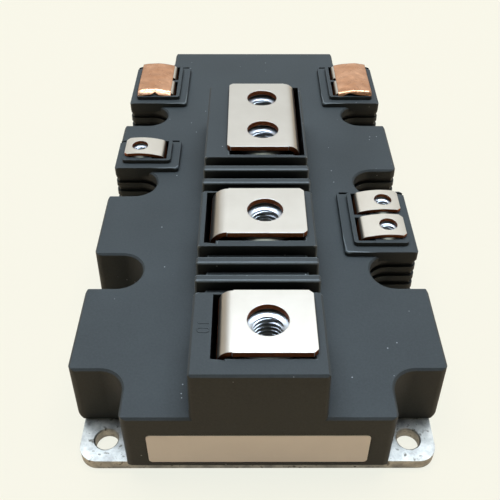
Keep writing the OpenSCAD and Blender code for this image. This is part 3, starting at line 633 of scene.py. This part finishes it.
def table():
    """The plain pale floor. The light that it throws back on the module is warm, as from wood."""
    bpy.ops.mesh.primitive_plane_add(size=4)
    floor = bpy.context.object
    floor.name = "floor"
    material, tree, body, _ = new_material("pale_table", Roughness=0.6)
    body.inputs["Base Color"].default_value = srgb("#d2ab7e")
    # the camera sees it nearly white, with the shadow on it, and glossy surfaces see it paler
    seen = add(tree, "ShaderNodeEmission", {"Color": srgb("#fbfdf2"), "Strength": 1.0})
    ray = add(tree, "ShaderNodeLightPath")
    direct = add(tree, "ShaderNodeMath", {0: ray.outputs["Is Camera Ray"], 1: 0.86},
                 operation="MULTIPLY")
    share = add(tree, "ShaderNodeMath", {0: ray.outputs["Is Glossy Ray"], 1: 0.3,
                2: direct.outputs[0]}, operation="MULTIPLY_ADD")
    mix = add(tree, "ShaderNodeMixShader", {0: share.outputs[0], 1: body.outputs[0],
              2: seen.outputs[0]})
    tree.links.new(mix.outputs[0], tree.nodes["Material Output"].inputs["Surface"])
    floor.data.materials.append(material)


def room():
    """A soft room: bright behind the module, dim on the side of whoever looks at it, and darker
    high up there."""
    world = bpy.data.worlds.new("room")
    scene.world = world
    world.use_nodes = True
    tree = world.node_tree
    way = add(tree, "ShaderNodeSeparateXYZ",
              {"Vector": add(tree, "ShaderNodeTexCoord").outputs["Generated"]})
    behind = add(tree, "ShaderNodeMapRange", {"Value": way.outputs["Y"], "From Min": -0.5,
                 "From Max": 0.5}, interpolation_type="SMOOTHSTEP")
    high = add(tree, "ShaderNodeMapRange", {"Value": way.outputs["Z"], "From Min": 0.35,
               "From Max": 0.65}, interpolation_type="SMOOTHSTEP")
    front = add(tree, "ShaderNodeMix", {0: high.outputs[0], 6: srgb("#978f84"),
                7: srgb("#201c18")}, data_type="RGBA")
    walls = add(tree, "ShaderNodeMix", {0: behind.outputs[0], 6: front.outputs[2],
                7: srgb("#a8a298")}, data_type="RGBA")
    # above the table's edge the camera sees the same pale tone as the table
    ray = add(tree, "ShaderNodeLightPath")
    shown = add(tree, "ShaderNodeMix", {0: ray.outputs["Is Camera Ray"], 6: walls.outputs[2],
                7: srgb("#fbf9ee")}, data_type="RGBA")
    tree.links.new(shown.outputs[2], tree.nodes["Background"].inputs["Color"])


def lamps():
    """Soft lamps: a window behind, lights on the ceiling and overhead, and faint ones elsewhere."""
    def lamp(name, place, aim, size, energy, colour):
        light = bpy.data.lights.new(name, "AREA")
        light.shape = "RECTANGLE"
        light.size, light.size_y = size
        light.energy = energy
        light.color = srgb(colour)[:3]
        fitting = bpy.data.objects.new(name, light)
        scene.collection.objects.link(fitting)
        fitting.location = place
        towards = Vector(aim) - Vector(place)
        fitting.rotation_euler = towards.to_track_quat("-Z", "Y").to_euler()

    middle = (0, 0, 0)
    lamp("window", (0, 1.3, 0.7), middle, (2.0, 0.9), 3.0, "#dbeaf6")
    lamp("ceiling", (0.1, 0.75, 1.1), middle, (1.2, 0.6), 1.55, "#e6f0f6")
    lamp("overhead", (0, 0.22, 1.2), (0, 0.22, 0), (1.2, 0.6), 24, "#d2e4f8")
    lamp("fill", (0, -0.6, 0.95), middle, (0.8, 0.2), 0.8, "#e4ecd8")
    lamp("left", (-1.1, 0.25, 0.55), middle, (0.7, 0.5), 1.0, "#eef0ee")
    lamp("right", (1.1, 0.25, 0.55), middle, (0.7, 0.5), 1.0, "#eef0ee")


def camera():
    """Seen from in front and above, as a phone held close over the label end."""
    place = Vector((-2.21, -174.1, 151.0)) * MM
    yaw, pitch, roll = 0.0032, 0.7329, 0.0018
    ahead = Vector((math.sin(yaw) * math.cos(pitch), math.cos(yaw) * math.cos(pitch),
                    -math.sin(pitch)))
    level = Vector((math.cos(yaw), -math.sin(yaw), 0))
    above = level.cross(ahead)
    right = level * math.cos(roll) + above * math.sin(roll)
    up = above * math.cos(roll) - level * math.sin(roll)
    pose = Matrix((right, up, -ahead)).transposed().to_4x4()
    pose.translation = place
    lens = bpy.data.cameras.new("camera")
    lens.sensor_width = 36
    lens.lens = 50.7
    lens.clip_start = 5 * MM
    seen_from = bpy.data.objects.new("camera", lens)
    scene.collection.objects.link(seen_from)
    seen_from.matrix_world = pose
    scene.camera = seen_from


# ---------------------------------------------------------------- build

BARS = "front_main_terminal", "middle_main_terminal", "output_terminal"
TABS = [name for name in frame["nodes"]
        if name.startswith(("sense_", "sensor_terminal", "gate_", "emitter_"))]


def main_nuts():
    """M8 nuts under the bars, at the places of the threaded mounts."""
    least_r = 3    # mm, to tell them from the M4 ones
    threads = {m["name"]: m for m in frame["record"]["mounts"] if m["kind"] == "threaded_hole"}
    tops = [Vector(m["pos_m"]) + Vector((0, 0, m["dims"]["length_mm"] / 2 * MM))
            for name, m in sorted(threads.items()) if m["dims"]["r_mm"] > least_r]
    nuts("m8_nuts", "main_terminal_nuts", tops, thread=8, pitch=1.25, flats=13, height=8,
         flange=17.9, flange_t=1.6)


def control_nuts():
    """M4 nuts under the control tabs, also below the foils."""
    flange = 9.4
    outer, _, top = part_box("control_terminal_nuts")[1]
    row = outer - flange / 2 * MM
    centres = []
    for node in TABS:
        low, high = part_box(node)
        centres.append(Vector((row if high[0] > 0 else -row, (low[1] + high[1]) / 2, top)))
    nuts("m4_nuts", "control_terminal_nuts", centres, thread=4, pitch=0.7, flats=7, height=4.6,
         flange=flange, flange_t=1)


case()
base()
for bar in BARS:
    plated_strip(bar + "_plated", bar, PLATING, "terminal_plating")
for tab in TABS:
    plated_strip(tab + "_plated", tab, TAB_PLATING, "control_terminal_plating")
main_nuts()
control_nuts()
foil("foil_left", "shorting_foil_left", fold=2.3, droop=46, notch=0.48, gap=0.07, lift=0.24,
     seed=3)
foil("foil_right", "shorting_foil_right", fold=1.6, droop=80, notch=0.35, gap=0.16, lift=0.3,
     seed=8)
moulded_number()
inner_nodes()
table()
room()
lamps()
camera()
